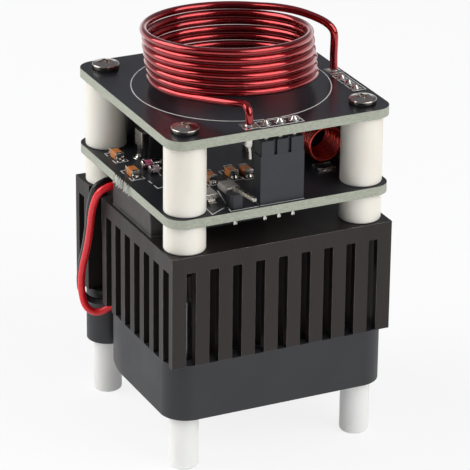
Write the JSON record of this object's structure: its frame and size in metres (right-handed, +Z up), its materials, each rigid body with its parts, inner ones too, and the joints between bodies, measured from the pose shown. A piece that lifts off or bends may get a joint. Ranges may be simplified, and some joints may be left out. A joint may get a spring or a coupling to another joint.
{
  "type": "desktop resonant transformer",
  "caption": "Small resonant transformer driver: finned heat sink over a fan on legs, spaced circuit boards and a bare round primary coil on top.",
  "frame": {"origin": "under the middle of the four legs, on the plane that the feet stand on", "axes": "+X along the front edge to the right, +Y away from the viewer, +Z up, from the feet toward the primary coil"},
  "size_m": [0.0427, 0.0442, 0.0714],
  "materials": {
    "leg_nylon": "matt natural nylon",
    "spacer_nylon": "satin ivory nylon",
    "zinc_steel": "zinc plate",
    "nickel_screw": "bright nickel plate",
    "fan_plastic": "fine matt black",
    "magnet_ferrite": "dull ferrite",
    "polished_steel": "ground",
    "sintered_bronze": "oiled sintered",
    "lamination_steel": "stamped edges",
    "bare_copper": "enamelled copper",
    "green_laminate": "green solder mask",
    "anodised_black": "black anodised, bright cut edges",
    "thermal_silicone": "soft pad",
    "tinned_metal": "tin plate",
    "moulded_epoxy": "fine grained mould",
    "header_plastic": "satin black",
    "enamel_red": "clear red enamel over copper",
    "solder": "bright solder",
    "enamel_orange": "clear orange red enamel",
    "chip_ceramic": "fired ceramic",
    "diode_glass": "tinted glass",
    "resistor_film": "glazed",
    "jack_plastic": "satin black",
    "lead_red": "satin insulation",
    "lead_black": "satin insulation",
    "solder_mask_black": "gloss black solder mask, pale green cut edge"
  },
  "bodies": {
    "chassis": {"leg_front_left": "leg_nylon", "leg_front_right": "leg_nylon", "leg_back_left": "leg_nylon", "leg_back_right": "leg_nylon", "spacer_lower_front_left": "spacer_nylon", "spacer_lower_front_right": "spacer_nylon", "spacer_lower_back_left": "spacer_nylon", "spacer_lower_back_right": "spacer_nylon", "spacer_upper_front_left": "spacer_nylon", "spacer_upper_front_right": "spacer_nylon", "spacer_upper_back_left": "spacer_nylon", "spacer_upper_back_right": "spacer_nylon", "leg_studs": "zinc_steel", "board_screws": "nickel_screw", "fan_frame": "fan_plastic", "fan_sleeve_bearing": "sintered_bronze", "fan_stator_core": "lamination_steel", "fan_windings": "bare_copper", "fan_circuit_board": "green_laminate", "heatsink": "anodised_black", "thermal_pad": "thermal_silicone", "mosfet_tab": "tinned_metal", "mosfet_case": "moulded_epoxy", "mosfet_leads": "tinned_metal", "front_socket": "header_plastic", "front_plug_strip": "header_plastic", "front_header_pins": "tinned_metal", "side_socket": "header_plastic", "side_plug_strip": "header_plastic", "side_header_pins": "tinned_metal", "angle_header_block": "header_plastic", "angle_header_pin": "tinned_metal", "primary_coil": "enamel_red", "coil_board_solder": "solder", "choke_coil": "enamel_orange", "chip_capacitor_1": "chip_ceramic", "chip_capacitor_2": "chip_ceramic", "chip_capacitor_3": "chip_ceramic", "chip_capacitor_4": "chip_ceramic", "chip_capacitor_5": "chip_ceramic", "glass_diode_1": "diode_glass", "glass_diode_2": "diode_glass", "moulded_diode_1": "moulded_epoxy", "moulded_diode_2": "moulded_epoxy", "chip_resistor": "resistor_film", "power_jack_body": "jack_plastic", "power_jack_pin": "tinned_metal", "power_jack_lugs": "tinned_metal", "film_capacitor": "moulded_epoxy", "fan_lead_red": "lead_red", "fan_lead_black": "lead_black", "driver_board": "solder_mask_black", "coil_board": "solder_mask_black"},
    "impeller": {"fan_impeller": "fan_plastic", "rotor_yoke": "zinc_steel", "rotor_magnet": "magnet_ferrite", "rotor_shaft": "polished_steel"}
  },
  "joints": [
    {"name": "impeller_spin", "type": "hinge", "parent": "chassis", "child": "impeller", "pos_m": [0, 0, 0.0142], "axis": [0, 0, 1], "continuous": true}
  ]
}
